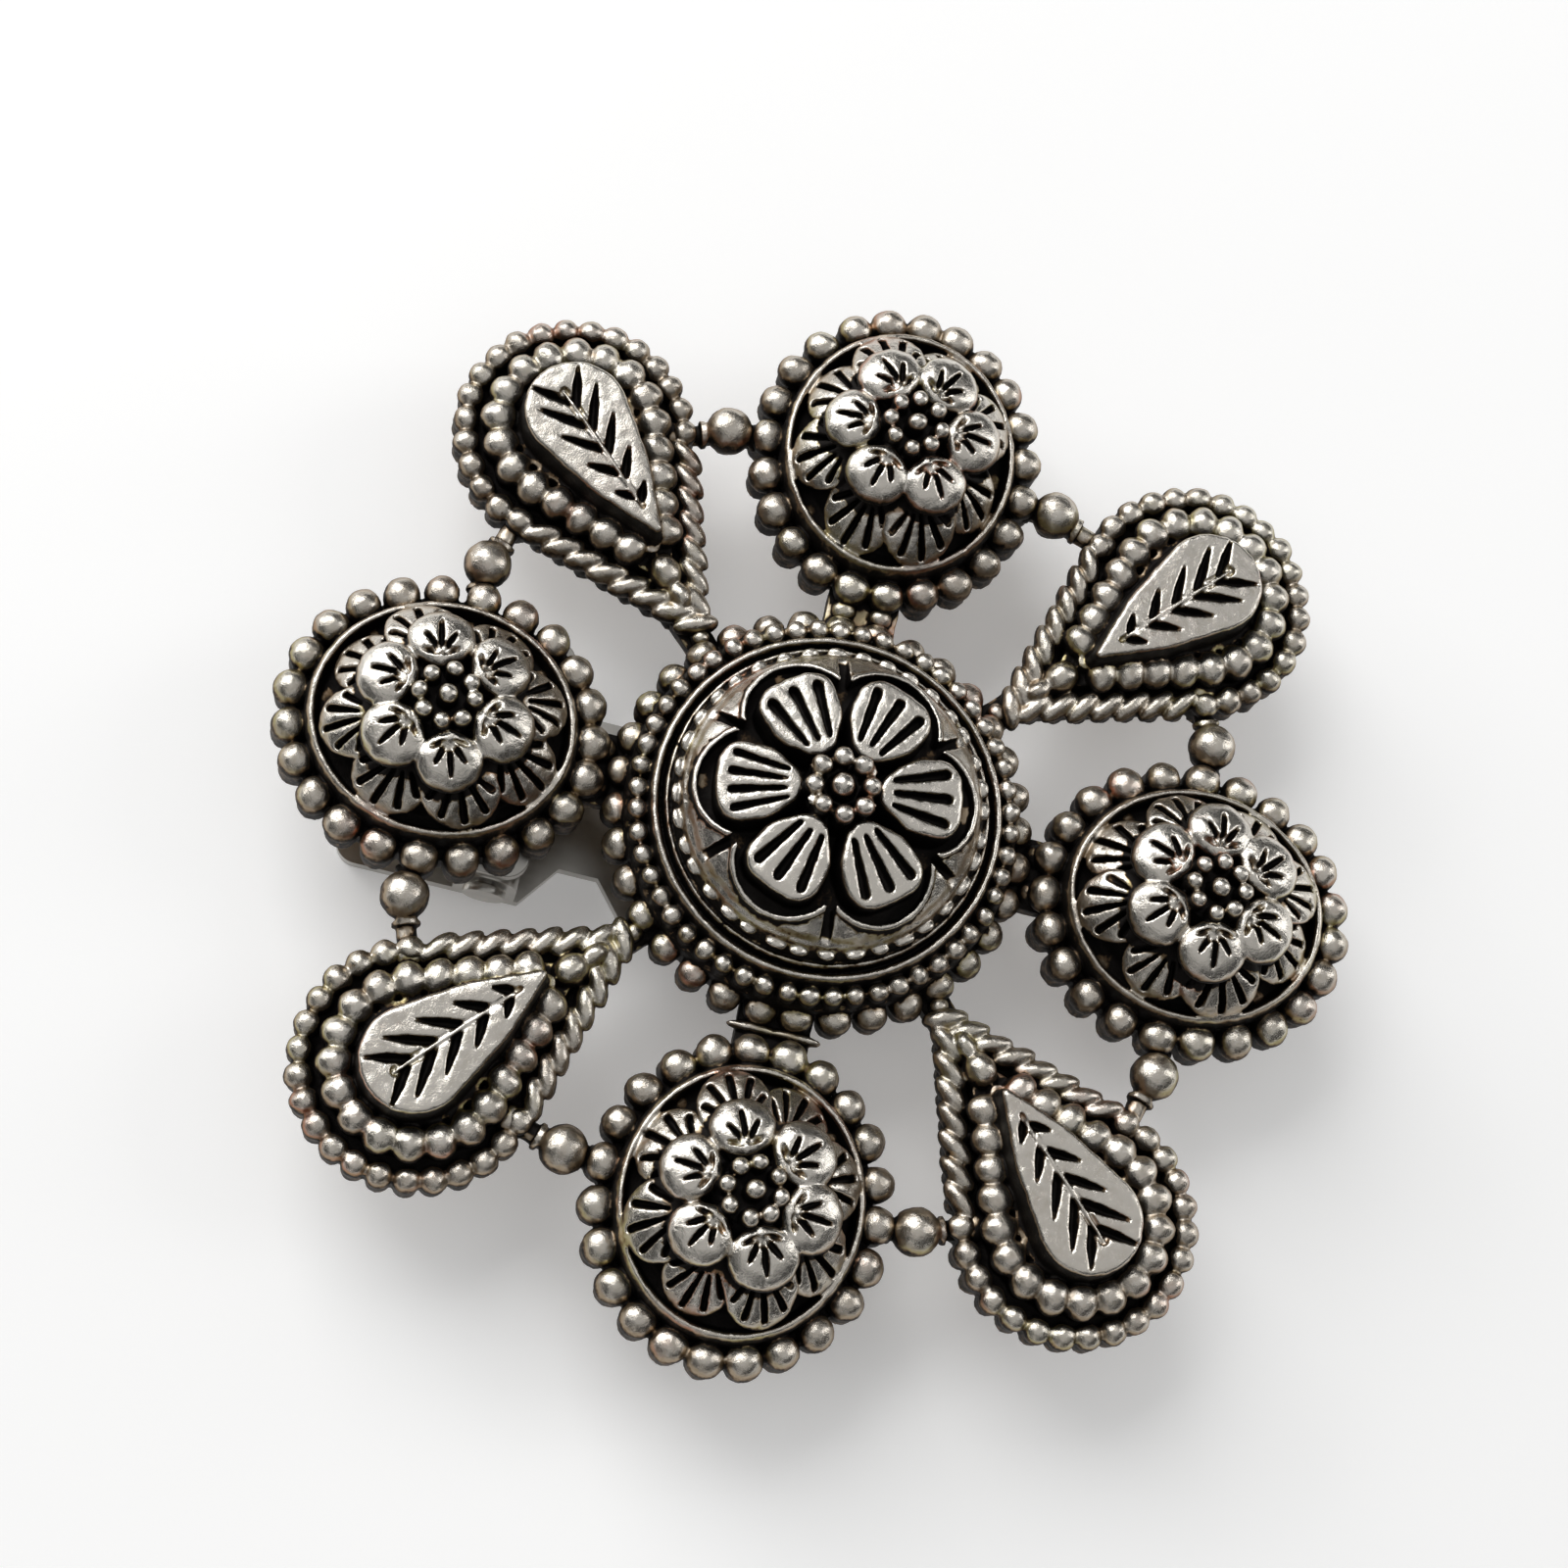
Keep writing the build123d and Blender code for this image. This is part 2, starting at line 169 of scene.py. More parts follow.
def addBead(bm, where, radius, height, rng, detail=3):
    # a slightly uneven bead on its stem
    b = beadShape
    uneven = [1 + sway(rng, b["uneven"]) for _ in range(3)]
    shift = [sway(rng, b["shift"]) for _ in range(3)]
    addPeg(bm, where, b["stemLow"] * radius, b["stemHigh"] * radius, height, b["stemSides"])
    addBall(bm, where @ place(shift[0], shift[1], height + shift[2], size=uneven), radius, detail)


def asObject(mesh, name="work"):
    obj = bpy.data.objects.new(name, mesh)
    bpy.context.scene.collection.objects.link(obj)
    return obj


def settled(obj):
    # the object's mesh with its modifiers applied; the object itself goes
    bpy.context.view_layer.update()
    seen = obj.evaluated_get(bpy.context.evaluated_depsgraph_get())
    mesh = bpy.data.meshes.new_from_object(seen)
    bpy.data.objects.remove(obj)
    return mesh


casting = dict(
    voxel=0.075, waver=0.11, grain=0.6, grainDepth=3, softening=0.5, smoothing=1, speck=40,
    carveVoxel=0.06, fineVoxel=0.05, cutterShare=0.75,
)
castGrain = bpy.data.textures.new("castGrain", "CLOUDS")
castGrain.noise_scale, castGrain.noise_depth = casting["grain"], casting["grainDepth"]
surfacePoints = []          # what the buff meets, for the polish and the painted shade below
pieces = {}


def fusedBody(bm, voxel):
    # overlapping bodies as one closed skin
    body = asObject(bake(bm))
    fuse = body.modifiers.new("fuse", "REMESH")
    fuse.mode, fuse.voxel_size, fuse.use_smooth_shade = "VOXEL", voxel, True
    return body


def carved(bm, cutters, voxel=casting["carveVoxel"]):
    # the body in bm with the cutters' bodies taken out
    body, tool = fusedBody(bm, voxel), fusedBody(cutters, voxel * casting["cutterShare"])
    cut = body.modifiers.new("cut", "BOOLEAN")
    cut.operation, cut.solver, cut.object = "DIFFERENCE", "EXACT", tool
    mesh = settled(body)
    bpy.data.objects.remove(tool)
    return mesh


def withoutSpecks(mesh):
    # takes out the loose shells of a few vertices that fusing and thinning leave
    bm = bmesh.new()
    bm.from_mesh(mesh)
    left, specks = set(bm.verts), []
    while left:
        shell, front = [], [left.pop()]
        while front:
            vert = front.pop()
            shell.append(vert)
            beside = {edge.other_vert(vert) for edge in vert.link_edges} & left
            left -= beside
            front += beside
        if len(shell) < casting["speck"]:
            specks += shell
    bmesh.ops.delete(bm, geom=specks, context="VERTS")
    bm.to_mesh(mesh)
    bm.free()
    return mesh


def cast(bm, name, where, triangles):
    # fuses overlapping bodies into one casting, in its place, with at most so many triangles
    work = fusedBody(bm, casting["voxel"])
    waver = work.modifiers.new("waver", "DISPLACE")
    waver.texture, waver.strength, waver.mid_level = castGrain, casting["waver"], 0.5
    soften = work.modifiers.new("soften", "SMOOTH")
    soften.factor, soften.iterations = casting["softening"], casting["smoothing"]
    fused = settled(work)
    fused.transform(Matrix.Translation((0, 0, backHeight)) @ where)
    points = np.empty(len(fused.vertices) * 3)
    fused.vertices.foreach_get("co", points)
    surfacePoints.append(points.reshape(-1, 3))
    work = asObject(fused)
    thin = work.modifiers.new("thin", "DECIMATE")
    thin.ratio = min(1.0, triangles / (2 * len(fused.polygons)))
    mesh = withoutSpecks(settled(work))
    mesh.name = name
    pieces[name] = asObject(mesh, name)
    print(name, len(fused.polygons) * 2, "->", len(mesh.polygons))


# Flower bosses: x runs outwards along the long axis, z up from the back

flower = dict(
    long=7.3, wide=6.6, plate=1.1, chamfer=0.1, margin=0.06, sides=120, triangles=95000,
    beads=23, beadRadius=0.91, beadHeight=1.5,
    dome=[(0.0, 0.4), (5.95, 0.4), (5.95, 1.3), (5.92, 2.3), (5.82, 2.75), (5.68, 2.97), (5.52, 2.92),
          (5.4, 2.4), (5.3, 2.0), (4.7, 2.0), (4.1, 2.7), (3.1, 3.7), (2.2, 4.4), (0.0, 4.8)],
    fans=8, fanFoot=2.87, fanHeight=5.1, fanPitch=33, lowFan=0.2, lowPitch=2,
    fanSway=3, fanTilt=2, fanSizes=(0.94, 1.04),
    petals=6, petalRing=3.14, petalTop=6.15, petalTilt=15,
    petalSway=2.5, petalLean=3, petalTwist=9, petalSizes=(0.96, 1.03),
    stemRing=2.4, stemFoot=4.2, stem=dict(low=0.9, high=1.0, height=1.1, sides=24),
    cupFoot=4.6, cup=dict(low=1.9, high=1.5, height=1.2, sides=40),
    stamens=8, stamenRing=1.27, stamenRadius=0.43, stamenFoot=5.4, stamenHeight=6.66, stamenSway=3,
    middleFoot=5.5, middleWider=0.06, middleHigher=0.1,
    hollowInset=3.1, hollowDepth=0.9, hollowBelow=0.5, hollowFlare=0.3, hollowNarrow=0.2,
)
fanShape = dict(
    radius=1.8, middle=0.95, stemDrop=-1.7, stemHeight=1.4, stemLow=0.75, stemHigh=0.97,
    pad=0.9, padDrop=-0.38, padLong=1.04, padHeight=0.46,
    grooves=5, spread=21, grooveStart=0.9, grooveShort=0.42,
    # height, radius
    grooveIn=((-0.6, 0.05), (0.5, 0.09)), grooveOut=((-0.6, 0.12), (0.5, 0.24)),
)
cuppedShape = dict(
    long=1.48, wide=1.64, stemDrop=-1.9, stemHeight=1.5, stemLow=0.55, stemHigh=0.86,
    # height, share of the width
    dome=((-0.7, 0.94), (-0.5, 1.0), (-0.25, 0.98), (-0.04, 0.88), (0.13, 0.7), (0.24, 0.45), (0.27, 0.2)),
    # height, radius
    heel=((-0.7, 0.6), (-0.38, 0.58), (-0.14, 0.42), (-0.02, 0.18)), heelPlace=-1.2,
    # angle, length
    marks=((0, 1.85), (33, 1.4), (-33, 1.4), (70, 1.0), (-70, 1.0)),
    markPlace=-1.15, markHeight=0.2, markStart=0.55, markLong=0.56, markWide=0.15, markDeep=0.5,
)


def fanPetal():
    # a grooved scallop that lies outwards from its foot
    f, fan, cuts = fanShape, bmesh.new(), bmesh.new()
    radius, middle = f["radius"], f["radius"] * f["middle"]
    foot = place(middle, 0, f["stemDrop"])
    addPeg(fan, foot, radius * f["stemLow"], radius * f["stemHigh"], f["stemHeight"], 48)
    pad = (radius * f["padLong"], radius, f["padHeight"])
    addBall(fan, place(middle * f["pad"], 0, f["padDrop"], size=pad), 1.0, 4)
    for k in range(f["grooves"]):
        angle = (k - (f["grooves"] - 1) / 2) * f["spread"]
        end = 2 * middle * math.cos(math.radians(angle)) - f["grooveShort"]
        wedge = [(f["grooveStart"], height, width) for height, width in f["grooveIn"]]
        wedge += [(end, height, width) for height, width in f["grooveOut"]]
        addHull(cuts, wedge, spun(angle), 12)
    return carved(fan, cuts)


def cuppedPetal():
    # broad outside and narrow at its heel, with a mark like a bird's foot
    c, petal, marks = cuppedShape, bmesh.new(), bmesh.new()
    wide = c["wide"]
    oval = place(size=(c["long"] / wide, 1, 1))
    foot = oval @ place(0, 0, c["stemDrop"])
    addPeg(petal, foot, wide * c["stemLow"], wide * c["stemHigh"], c["stemHeight"], 48)
    rounds = [(0, height, wide * share) for height, share in c["dome"]]
    rounds += [(c["heelPlace"], height, radius) for height, radius in c["heel"]]
    addHull(petal, rounds, oval)
    for angle, reach in c["marks"]:
        size = (reach * c["markLong"], c["markWide"], c["markDeep"])
        start = place(c["markPlace"], 0, c["markHeight"]) @ spun(angle)
        addBall(marks, start @ place(reach * c["markStart"], 0, 0, size=size), 1.0, 2)
    return carved(petal, marks)


def hollowed(plate):
    # a flower's plate with a shallow dish behind
    f, dish = flower, bmesh.new()
    long, wide = f["long"] - f["hollowInset"], f["wide"] - f["hollowInset"]
    under = place(0, 0, -f["hollowBelow"], size=(long / wide, 1, 1))
    depth = f["hollowBelow"] + f["hollowDepth"]
    addPeg(dish, under, wide + f["hollowFlare"], wide - f["hollowNarrow"], depth, 80)
    return carved(plate, dish)


def flowerBoss(name, angle, distance, turn, hollow, seed, fan, petal):
    f, bm, rng = flower, bmesh.new(), random.Random(seed)
    oval = place(size=(f["long"] / f["wide"], 1, 1))
    plate = bmesh.new()
    addPeg(plate, oval, f["wide"], f["wide"] - f["chamfer"], f["plate"], f["sides"])
    addRing(plate, f["dome"], oval, f["sides"])
    addMesh(bm, hollowed(plate) if hollow else bake(plate), Matrix.Identity(4))
    for k in range(f["beads"]):
        a = 2 * math.pi * k / f["beads"]
        where = place(f["long"] * math.cos(a), f["wide"] * math.sin(a))
        addBead(bm, where, f["beadRadius"], f["beadHeight"], rng, 4)
    for k in range(f["fans"]):
        low = k % 2
        tilt = f["fanPitch"] + f["lowPitch"] * low + sway(rng, f["fanTilt"])
        grow = rng.uniform(*f["fanSizes"])
        where = oval @ spun(360 * (k + 0.5) / f["fans"] + sway(rng, f["fanSway"]))
        height = f["fanHeight"] - f["lowFan"] * low
        lying = place(f["fanFoot"], 0, height, turn=(0, tilt, 0), size=(grow, grow, grow))
        addMesh(bm, fan, where @ lying)
    for k in range(f["petals"]):
        where = spun(turn + 360 * k / f["petals"] + sway(rng, f["petalSway"]))
        grow = rng.uniform(*f["petalSizes"])
        sideways, outwardLean = sway(rng, f["petalLean"]), f["petalTilt"] + sway(rng, f["petalLean"])
        lean = (sideways, outwardLean, sway(rng, f["petalTwist"]))
        lying = place(f["petalRing"], 0, f["petalTop"], turn=lean, size=(grow, grow, 1))
        addMesh(bm, petal, where @ lying)
        addPeg(bm, where @ place(f["stemRing"], 0, f["stemFoot"]), **f["stem"])
    addPeg(bm, place(0, 0, f["cupFoot"]), **f["cup"])
    height = f["stamenHeight"] + f["middleHigher"] - f["middleFoot"]
    addBead(bm, place(0, 0, f["middleFoot"]), f["stamenRadius"] + f["middleWider"], height, rng)
    for k in range(f["stamens"]):
        turned = spun(360 * k / f["stamens"] + sway(rng, f["stamenSway"]))
        where = turned @ place(f["stamenRing"], 0, f["stamenFoot"])
        addBead(bm, where, f["stamenRadius"], f["stamenHeight"] - f["stamenFoot"], rng)
    cast(bm, name, spun(angle) @ Matrix.Translation((distance, 0, 0)), f["triangles"])


flowerTable = [
    dict(name="flower_right", angle=0, reach=flowerReach[0], turn=-25, hollow=True, bar=False, seed=11),
    dict(name="flower_top", angle=90, reach=flowerReach[1], turn=-85, hollow=True, bar=False, seed=12),
    dict(name="flower_left", angle=180, reach=flowerReach[0], turn=-192, hollow=False, bar=False, seed=13),
    dict(name="flower_bottom", angle=270, reach=flowerReach[1], turn=80, hollow=True, bar=True, seed=14),
]
fan, petal = fanPetal(), cuppedPetal()
for row in flowerTable:
    distance = row["reach"] - flower["long"] - flower["beadRadius"] - flower["margin"]
    flowerBoss(row["name"], row["angle"], distance, row["turn"], row["hollow"], row["seed"], fan, petal)


# Centre medallion

medal = dict(
    body=[(0.0, 0.0), (9.62, 0.0), (9.62, 2.2), (9.45, 2.5), (8.75, 2.6), (8.62, 3.2), (8.54, 3.8),
          (8.42, 4.02), (8.27, 4.02), (8.16, 3.8), (8.08, 3.3), (7.96, 3.3), (7.9, 3.9), (7.81, 4.12),
          (7.71, 4.08), (7.62, 3.8), (7.5, 4.2), (7.32, 4.8), (7.15, 5.2), (6.9, 5.35), (0.0, 5.35)],
    floor=5.35, triangles=176000,
    beads=34, beadRing=9.85, beadRadius=0.82, beadHeight=1.2,
    pearls=52, pearlRing=9.12, pearlRadius=0.52, pearlFoot=1.8, pearlHeight=3.1,
    dashes=36, dashRing=7.44, dashHeight=4.72, dashTilt=52, dashSize=(0.24, 0.5, 0.28),
    dashSway=1, dashLean=6, dashLengths=(0.85, 1.08),
    petals=6, petalTurn=8.0, petalSway=1, grooves=(3, 3, 3, 4, 3, 3),
    cupFoot=5.2, cup=dict(low=1.85, high=1.68, height=1.4, sides=48),
    stamens=8, stamenRing=1.38, stamenTurn=12, stamenRadius=0.48, stamenFoot=6.5, stamenHeight=7.9,
    middleWider=0.1, middleHigher=0.12,
    collar=[(0.7, 6.9), (0.7, 7.42), (0.79, 7.52), (0.88, 7.42), (0.88, 6.9)],
)
lobeShape = dict(
    top=7.55, foot=5.1, flare=0.04, tilt=6.0, pivot=2.35, middle=4.1, radius=1.86, grooveFan=40,
    # x, radius, y
    corners=((4.7, 1.2, 0.75), (4.7, 1.2, -0.75), (2.85, 1.05, 0)),
    # how far below the top, how much wider
    rim=((0.26, 0.0), (0.08, -0.08), (0.0, -0.2)),
    # x, height from the top, radius with three grooves
    groove=((2.6, -0.55, 0.06), (2.6, 0.2, 0.17), (5.2, -0.6, 0.16), (5.2, 0.2, 0.3)),
)
archShape = dict(
    ring=4.02, gap=0.74, slot=0.5, slotPlace=6.1, slotLength=2.9, slotHeight=2.5, well=5.15, depth=3.0,
    lipHeight=6.93, lipTilt=18.3,
    # how far out from the petal's edge, height
    lip=((-0.05, -0.9), (-0.05, 0.04), (0.1, 0.14), (0.28, 0.05), (0.36, -0.9)),
    shoulder=((7.3, 4.6), (7.14, 5.1), (6.8, 5.65), (6.3, 6.12), (5.7, 6.46), (4.9, 6.72)),
)


def medalPetal(grooves):
    l, petal, cuts = lobeShape, bmesh.new(), bmesh.new()
    top = l["top"]
    profile = [(l["foot"], l["flare"])] + [(top - below, wider) for below, wider in l["rim"]]
    rounds = []
    for x, radius, y in ((l["middle"], l["radius"], 0), *l["corners"]):
        rounds += [(x, height, radius + wider, y) for height, wider in profile]
    addHull(petal, rounds)
    slim = 3 / grooves
    groove = [(x, top + rise, radius * slim) for x, rise, radius in l["groove"]]
    for k in range(grooves):
        addHull(cuts, groove, spun((k - (grooves - 1) / 2) * l["grooveFan"] / grooves), 16)
    made = carved(petal, cuts, casting["fineVoxel"])
    # leans outwards, like the dome that it lies on
    pivot = place(l["pivot"], 0, top)
    made.transform(pivot @ place(turn=(0, l["tilt"], 0)) @ pivot.inverted())
    return made


def archFrame():
    # six scalloped arches with a fine lip round the petals, parted by slots
    a, arches, cuts = archShape, bmesh.new(), bmesh.new()
    base = medal["floor"] - 0.4
    addHull(arches, [(0, height, radius) for radius, height in a["shoulder"]], sides=144)
    addPeg(cuts, place(0, 0, base - 0.2), a["well"], a["well"], a["depth"], 96)
    lobe = lobeShape["radius"] + a["gap"]
    lip = [(lobe + out, height) for out, height in a["lip"]]
    stretch = 1 / math.cos(math.radians(a["lipTilt"]))
    for k in range(medal["petals"]):
        turn = spun(medal["petalTurn"] + 60 * k)
        tilted = place(a["ring"], 0, a["lipHeight"], turn=(0, a["lipTilt"], 0), size=(stretch, 1, 1))
        addRing(arches, lip, turn @ tilted, 96)
        addPeg(cuts, turn @ place(a["ring"], 0, base - 0.1), lobe, lobe + 0.02, a["depth"], 64)
        slot = turn @ spun(30) @ place(a["slotPlace"], 0, medal["floor"] - 0.3)
        addBlock(cuts, slot, a["slotLength"], a["slot"], a["slotHeight"])
    return carved(arches, cuts, casting["fineVoxel"])


def medallion():
    m, bm, rng = medal, bmesh.new(), random.Random(5)
    addRing(bm, m["body"])
    for k in range(m["beads"]):
        where = spun(360 * k / m["beads"]) @ place(m["beadRing"])
        addBead(bm, where, m["beadRadius"], m["beadHeight"], rng, 4)
    for k in range(m["pearls"]):
        where = spun(360 * k / m["pearls"]) @ place(m["pearlRing"], 0, m["pearlFoot"])
        addBead(bm, where, m["pearlRadius"], m["pearlHeight"] - m["pearlFoot"], rng)
    long, wide, high = m["dashSize"]
    for k in range(m["dashes"]):
        where = spun(360 * k / m["dashes"] + sway(rng, m["dashSway"]))
        size = (long, wide * rng.uniform(*m["dashLengths"]), high)
        lean = (sway(rng, m["dashLean"]), m["dashTilt"], 0)
        addBall(bm, where @ place(m["dashRing"], 0, m["dashHeight"], turn=lean, size=size), 1.0, 3)
    addMesh(bm, archFrame(), Matrix.Identity(4))
    shapes = {count: medalPetal(count) for count in sorted(set(m["grooves"]))}
    for k, count in enumerate(m["grooves"]):
        where = spun(m["petalTurn"] + 60 * k + sway(rng, m["petalSway"]))
        addMesh(bm, shapes[count], where)
    addPeg(bm, place(0, 0, m["cupFoot"]), **m["cup"])
    foot = m["stamenFoot"]
    height = m["stamenHeight"] + m["middleHigher"] - foot
    addBead(bm, place(0, 0, foot), m["stamenRadius"] + m["middleWider"], height, rng, 4)
    addRing(bm, m["collar"], steps=48)
    for k in range(m["stamens"]):
        where = spun(360 * k / m["stamens"] + m["stamenTurn"]) @ place(m["stamenRing"], 0, foot)
        addBead(bm, where, m["stamenRadius"], m["stamenHeight"] - foot, rng, 4)
    cast(bm, "medallion", Matrix.Identity(4), m["triangles"])


medallion()


# Leaf drops: x runs outwards from the centre, the tip inwards

leaf = dict(
    tip=11.4, middle=22.8, edge=5.45, plate=0.9, triangles=88000,
    ropes=34, ropeRadius=0.68, ropeHeight=1.4, ropeTwist=36, ropeSway=4, strand=(1.15, 0.5, 0.7),
    ropeStem=dict(low=0.5, high=0.45, height=0.8, sides=20),
    rowInset=1.6, rowTipInset=2.9, rowTipGap=1.4, rowBeads=22, rowHeight=2.2,
    roundBead=(0.84, 0.92, 0.84), roundSizes=(0.96, 1.03),
    sideBead=(0.8, 0.95, 0.8), sideSizes=(0.95, 1.03), sideTwist=18, rowSway=10,
    rowStem=dict(low=0.66, high=0.7, height=1.9, sides=20),
    stepFoot=0.4, terrace=1.75, step=2.5, tipBead=0.66, tipBeadHeight=1.15,
    # how far in from the plaque's tip, size
    droplets=((1.35, (0.95, 0.78, 0.95)), (2.75, (0.75, 0.52, 0.7))), dropletHeight=1.75,
)
plaqueShape = dict(
    tip=15.75, middle=23.1, radius=2.55, foot=0.7, flare=0.36, top=4.15, ribIn=1.5, ribOut=1.1,
    # how far below the top, how much wider
    rim=((0.18, 0.02), (0.05, -0.06), (0.0, -0.16)),
    # the point between the round end and the tip, as shares of the length and of the radius
    waistPlace=0.47, waistWidth=0.66, tipInset=0.25, tipRadius=0.2,
    # height from the top, radius
    ribInner=((-0.4, 0.07), (0.3, 0.2)), ribOuter=((-0.45, 0.15), (0.3, 0.34)),
    veinReach=(1.15, 1.8, 2.35, 2.65, 2.3), veinStart=1.9, veinStep=1.42, veinAside=0.14,
    veinAngle=44, veinTurn=2, veinHeel=0.2,
    # share of the vein's reach, height from the top, radius
    vein=((0, -0.6, 0.12), (0, 0.3, 0.3), (0.5, -0.6, 0.1),
          (0.5, 0.3, 0.31), (1, -0.25, 0.03), (1, 0.3, 0.1)),
    midrib=(20.9, 0, 3.81), midribSize=(3.8, 0.15, 0.36),
)


def dropPath(tip, middle, radius, count, shift=0.0):
    # evenly spaced stations round a drop: x, y, heading in degrees, and how round the place is (0 or 1)
    half = math.acos(radius / (middle - tip))
    straight = math.sqrt((middle - tip) ** 2 - radius ** 2)
    bend = 2 * (math.pi - half) * radius
    total = 2 * straight + bend
    slope = math.pi / 2 - half
    stations = []
    for k in range(count):
        s = (k + shift) % count * total / count
        if s < straight:
            stations.append((tip + s * math.cos(slope), s * math.sin(slope), math.degrees(slope), 0))
        elif s < straight + bend:
            a = math.pi - half - (s - straight) / radius
            stations.append((middle + radius * math.cos(a), radius * math.sin(a), math.degrees(a) - 90, 1))
        else:
            s -= straight + bend
            x, y = middle - radius * math.cos(half), -radius * math.sin(half)
            heading = 180 - math.degrees(slope)
            stations.append((x - s * math.cos(slope), y + s * math.sin(slope), heading, 0))
    return stations


def leafPlaque():
    # the engraved leaf: a ridged midrib between wedge-shaped veins
    p, body, cuts = plaqueShape, bmesh.new(), bmesh.new()
    top, tip, middle, radius = p["top"], p["tip"], p["middle"], p["radius"]
    waist = middle - p["waistPlace"] * (middle - tip)
    stations = ((middle, radius), (waist, p["waistWidth"] * radius), (tip + p["tipInset"], p["tipRadius"]))
    rows = []
    for x, wide in stations:
        rows.append((x, p["foot"], wide + p["flare"]))
        rows += [(x, top - below, wide + wider) for below, wider in p["rim"]]
    addHull(body, rows)
    rib = [(tip + p["ribIn"], top + rise, wide) for rise, wide in p["ribInner"]]
    rib += [(middle + p["ribOut"], top + rise, wide) for rise, wide in p["ribOuter"]]
    addHull(cuts, rib, sides=16)
    for k, reach in enumerate(p["veinReach"]):
        start = tip + p["veinStart"] + p["veinStep"] * k
        for side in (-1, 1):
            angle = side * (p["veinAngle"] - p["veinTurn"] * k)
            heel = p["veinHeel"]
            wedge = [(max(heel, share * reach), top + rise, wide) for share, rise, wide in p["vein"]]
            addHull(cuts, wedge, place(start + p["veinAside"] * side, 0, 0) @ spun(angle), 16)
    made = bmesh.new()
    addMesh(made, carved(body, cuts, casting["fineVoxel"]), Matrix.Identity(4))
    addBall(made, place(*p["midrib"], size=p["midribSize"]), 1.0, 3)
    return bake(made)


def addStep(bm, wide, narrow, low, high):
    # a level step of the drop: each end has its x, its radius at the foot and its radius at the top
    rounds = []
    for x, foot, top in (wide, narrow):
        rounds += [(x, low, foot), (x, high, top)]
    addHull(bm, rounds)


def leafDrop(name, angle, plaqueTurn, seed, plaque):
    l, bm, rng = leaf, bmesh.new(), random.Random(seed)
    middle, edge, tip = l["middle"], l["edge"], l["tip"]
    row, rowTip = edge - l["rowInset"], tip + l["rowTipInset"]
    radius, plaqueTip = plaqueShape["radius"], plaqueShape["tip"]
    addStep(bm, (middle, edge + 0.1, edge), (tip + 0.5, 0.6, 0.5), 0, l["plate"])
    addStep(bm, (middle, row + 0.55, row + 0.4), (rowTip, 0.5, 0.4), l["stepFoot"], l["terrace"])
    addStep(bm, (middle, radius + 0.65, radius + 0.4), (plaqueTip, 0.6, 0.38), l["stepFoot"], l["step"])
    for x, y, heading, roundness in dropPath(tip, middle, edge, l["ropes"]):
        where = place(x, y, 0, turn=(0, 0, heading))
        if roundness:
            addBead(bm, where, l["ropeRadius"], l["ropeHeight"], rng, 4)
        else:
            twist = (0, 0, l["ropeTwist"] + sway(rng, l["ropeSway"]))
            addBall(bm, where @ place(0, 0, l["ropeHeight"], turn=twist, size=l["strand"]), 1.0, 4)
            addPeg(bm, where, **l["ropeStem"])
    for x, y, heading, roundness in dropPath(rowTip, middle, row, l["rowBeads"], 0.5):
        if x < rowTip + l["rowTipGap"]:
            continue
        where = place(x, y, 0, turn=(0, 0, heading))
        shape, sizes = ("roundBead", "roundSizes") if roundness else ("sideBead", "sideSizes")
        size = [s * rng.uniform(*l[sizes]) for s in l[shape]]
        twist = (0, 0, sway(rng, l["rowSway"]) - l["sideTwist"] * (1 - roundness))
        addBall(bm, where @ place(0, 0, l["rowHeight"], turn=twist, size=size), 1.0, 4)
        addPeg(bm, where, **l["rowStem"])
    addMesh(bm, plaque, place(middle) @ spun(plaqueTurn) @ place(-middle))
    for inset, size in l["droplets"]:
        addBall(bm, place(plaqueTip - inset, 0, l["dropletHeight"], size=size), 1.0, 4)
    addBead(bm, place(tip + 0.1, 0, 0), l["tipBead"], l["tipBeadHeight"], rng, 4)
    cast(bm, name, spun(angle), l["triangles"])


leafTable = [
    dict(name="leaf_top_right", angle=44.3, plaqueTurn=2, seed=21),
    dict(name="leaf_top_left", angle=134.3, plaqueTurn=2, seed=22),
    dict(name="leaf_bottom_left", angle=225.3, plaqueTurn=2, seed=23),
    dict(name="leaf_bottom_right", angle=314.2, plaqueTurn=1, seed=24),
]
plaque = leafPlaque()
for row in leafTable:
    leafDrop(plaque=plaque, **row)


# Balls, bars and bridges between the units, and the bracket behind the left flower

joinery = dict(
    ballDistance=20.4, ballOffset=24.7, ball=1.18, bar=0.5, barHeight=0.95, barOverlap=0.5, triangles=40000,
    ballFoot=0.05, ballStem=dict(low=0.75, high=0.85, height=1.2, sides=24),
    knob=0.74, knobHeight=1.15, knobInset=0.1,
    collarGap=0.12, collarLength=0.14, collarWider=0.2, collarHigher=0.15,
    # length, width and height
    bridge=10.4, bridgeSize=(3.2, 3.6, 1.0), neck=10.6, neckSize=(3.4, 1.5, 0.9),
    # how far out, aside and up
    bridgeKnob=(10.9, 0.95, 0), bridgeKnobSize=(0.62, 1.05),
    neckKnob=(10.75, 0, 0), neckKnobSize=(0.5, 1.25),
    crossbar=(10.75, 1.05, 1.0), crossbarSize=(0.28, 1.3, 0.5),
    crossStem=(10.6, 1.03, 0.9), crossPeg=dict(low=0.36, high=0.4, height=0.8, sides=20),
)
bracket = dict(
    inner=-13.15, length=6.6, width=12.3, sheet=0.7, corner=1.1, cornerSteps=6, edge=0.08, edgeSteps=2,
    hinge=1.75, hingeHeight=2.65, hole=0.62, ear=0.8, earRadius=1.45, earInner=4.4,
)


